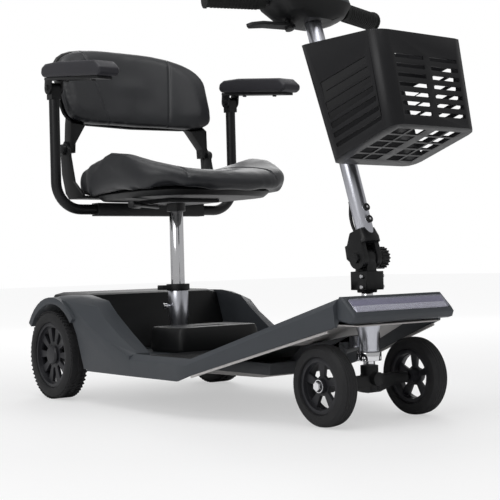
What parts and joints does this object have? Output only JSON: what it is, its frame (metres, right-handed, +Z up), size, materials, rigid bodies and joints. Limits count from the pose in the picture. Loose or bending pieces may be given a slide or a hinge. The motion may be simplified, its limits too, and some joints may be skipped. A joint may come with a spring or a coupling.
{
  "type": "mobility scooter",
  "caption": "Small travel mobility scooter with a padded swivel seat, flip-up armrests, leaning tiller with a slotted basket, swept grips, lift-out battery and solid tyres.",
  "frame": {"origin": "on the floor at the middle of the whole scooter's box", "axes": "+Z up, +Y towards the back along the scooter's length, +X across to the rider's left; the scooter faces -Y"},
  "size_m": [0.554, 1.1236, 0.8631],
  "materials": {
    "charcoal_plastic": "satin",
    "black_plastic": "satin",
    "frame_paint": "satin",
    "silver_tube": "anodised",
    "pale_plastic": "matt",
    "mat_rubber": "matt",
    "lamp_silver": "bright",
    "lamp_clear": "clear",
    "cast_drive": "rough",
    "lamp_red": "gloss",
    "chrome_steel": "polished",
    "red_plastic": "satin",
    "black_metal": "satin",
    "cable_black": "satin",
    "basket_plastic": "satin",
    "grip_rubber": "matt",
    "grey_plastic": "satin",
    "soft_vinyl": "soft grain",
    "arm_foam": "satin skin",
    "tyre_rubber": "matt",
    "rim_plastic": "satin"
  },
  "bodies": {
    "chassis": {"body_shell": "charcoal_plastic", "rear_cover": "black_plastic", "chassis_frame": "frame_paint", "head_tube": "silver_tube", "nose_tray": "pale_plastic", "belly_tray": "pale_plastic", "floor_mat": "mat_rubber", "lamp_reflector": "lamp_silver", "lamp_lens": "lamp_clear", "transaxle": "cast_drive", "controller": "black_plastic", "tail_lamp_right": "lamp_red", "tail_lamp_left": "lamp_red", "post_socket": "silver_tube", "post_clamp": "black_plastic", "steer_loom": "cable_black"},
    "lock_pin": {"lock_pin": "chrome_steel"},
    "battery": {"battery_case": "black_plastic"},
    "freewheel": {"freewheel_lever": "red_plastic"},
    "rear_wheel_right": {"tyre_rear_right": "tyre_rubber", "rim_rear_right": "rim_plastic"},
    "rear_wheel_left": {"tyre_rear_left": "tyre_rubber", "rim_rear_left": "rim_plastic"},
    "front_fork": {"steer_stem": "chrome_steel", "front_axle": "black_metal", "fold_base": "black_metal"},
    "front_wheel_right": {"tyre_front_right": "tyre_rubber", "rim_front_right": "rim_plastic"},
    "front_wheel_left": {"tyre_front_left": "tyre_rubber", "rim_front_left": "rim_plastic"},
    "tiller": {"fold_head": "black_metal", "tiller_tube": "silver_tube", "harness": "cable_black", "basket_bracket": "black_plastic", "basket": "basket_plastic", "head_lower": "black_plastic", "head_upper": "charcoal_plastic", "bar_right": "black_metal", "bar_left": "black_metal", "grip_right": "grip_rubber", "grip_left": "grip_rubber"},
    "tilt_knob": {"tilt_knob": "black_plastic"},
    "throttle": {"throttle_lever": "black_plastic"},
    "speed_dial": {"speed_dial": "black_plastic"},
    "horn": {"horn_button": "grey_plastic"},
    "post": {"seat_post": "chrome_steel"},
    "seat": {"seat_mount": "black_metal", "seat_pan": "black_plastic", "seat_cushion": "soft_vinyl", "back_hinge_right": "black_plastic", "back_hinge_left": "black_plastic"},
    "swivel_lever": {"swivel_lever": "black_metal"},
    "backrest": {"back_cushion": "soft_vinyl", "back_shell": "black_plastic"},
    "arm_right": {"arm_tube_right": "black_metal"},
    "armrest_right": {"arm_bracket_right": "black_metal", "arm_pad_right": "arm_foam"},
    "arm_left": {"arm_tube_left": "black_metal"},
    "armrest_left": {"arm_bracket_left": "black_metal", "arm_pad_left": "arm_foam"}
  },
  "joints": [
    {"name": "steering", "type": "hinge", "parent": "chassis", "child": "front_fork", "pos_m": [0, -0.37023, 0.15], "axis": [0, 0, 1], "range_deg": [-40, 40]},
    {"name": "front_spin_right", "type": "hinge", "parent": "front_fork", "child": "front_wheel_right", "pos_m": [-0.116, -0.37423, 0.0755], "axis": [1, 0, 0], "continuous": true},
    {"name": "front_spin_left", "type": "hinge", "parent": "front_fork", "child": "front_wheel_left", "pos_m": [0.116, -0.37423, 0.0755], "axis": [1, 0, 0], "continuous": true},
    {"name": "rear_spin_right", "type": "hinge", "parent": "chassis", "child": "rear_wheel_right", "pos_m": [-0.225, 0.43777, 0.1015], "axis": [1, 0, 0], "continuous": true},
    {"name": "rear_spin_left", "type": "hinge", "parent": "chassis", "child": "rear_wheel_left", "pos_m": [0.225, 0.43777, 0.1015], "axis": [1, 0, 0], "continuous": true},
    {"name": "tiller_tilt", "type": "hinge", "parent": "front_fork", "child": "tiller", "pos_m": [0, -0.36823, 0.306], "axis": [1, 0, 0], "range_deg": [-5, 15]},
    {"name": "tilt_knob_turn", "type": "hinge", "parent": "tiller", "child": "tilt_knob", "pos_m": [0, -0.36823, 0.306], "axis": [1, 0, 0], "range_deg": [0, 180]},
    {"name": "throttle", "type": "hinge", "parent": "tiller", "child": "throttle", "pos_m": [-0.052, -0.2234, 0.76363], "axis": [0, 0.3057, 0.9521], "range_deg": [-12, 12], "stiffness_Nm_per_rad": 0.4},
    {"name": "speed_dial_turn", "type": "hinge", "parent": "tiller", "child": "speed_dial", "pos_m": [0, -0.19894, 0.8398], "axis": [0, 0.3057, 0.9521], "range_deg": [-130, 130]},
    {"name": "horn_press", "type": "slide", "parent": "tiller", "child": "horn", "axis": [0, -0.3057, -0.9521], "range_m": [0, 0.002], "stiffness_N_per_m": 900},
    {"name": "seat_height", "type": "slide", "parent": "chassis", "child": "post", "axis": [0, 0, 1], "range_m": [0, 0.06]},
    {"name": "seat_swivel", "type": "hinge", "parent": "post", "child": "seat", "pos_m": [0, 0.26877, 0.43], "axis": [0, 0, 1], "continuous": true},
    {"name": "swivel_release", "type": "hinge", "parent": "seat", "child": "swivel_lever", "pos_m": [-0.024, 0.30877, 0.4385], "axis": [0, 0, 1], "range_deg": [0, 12], "stiffness_Nm_per_rad": 0.6},
    {"name": "backrest_fold", "type": "hinge", "parent": "seat", "child": "backrest", "pos_m": [0, 0.42577, 0.578], "axis": [1, 0, 0], "range_deg": [0, 70]},
    {"name": "arm_width_right", "type": "slide", "parent": "seat", "child": "arm_right", "axis": [-1, 0, 0], "range_m": [0, 0.03]},
    {"name": "arm_width_left", "type": "slide", "parent": "seat", "child": "arm_left", "axis": [1, 0, 0], "range_m": [0, 0.03]},
    {"name": "armrest_flip_right", "type": "hinge", "parent": "arm_right", "child": "armrest_right", "pos_m": [-0.25, 0.38277, 0.712], "axis": [-1, 0, 0], "range_deg": [0, 85]},
    {"name": "armrest_flip_left", "type": "hinge", "parent": "arm_left", "child": "armrest_left", "pos_m": [0.25, 0.38277, 0.712], "axis": [-1, 0, 0], "range_deg": [0, 85]},
    {"name": "pin_pull", "type": "slide", "parent": "chassis", "child": "lock_pin", "axis": [-1, 0, 0], "range_m": [0, 0.008], "stiffness_N_per_m": 600},
    {"name": "battery_lift", "type": "slide", "parent": "chassis", "child": "battery", "axis": [0, 0, 1], "range_m": [0, 0.12]},
    {"name": "freewheel_turn", "type": "hinge", "parent": "chassis", "child": "freewheel", "pos_m": [0.175, 0.55577, 0.14], "axis": [0, 1, 0], "range_deg": [0, 60]}
  ]
}
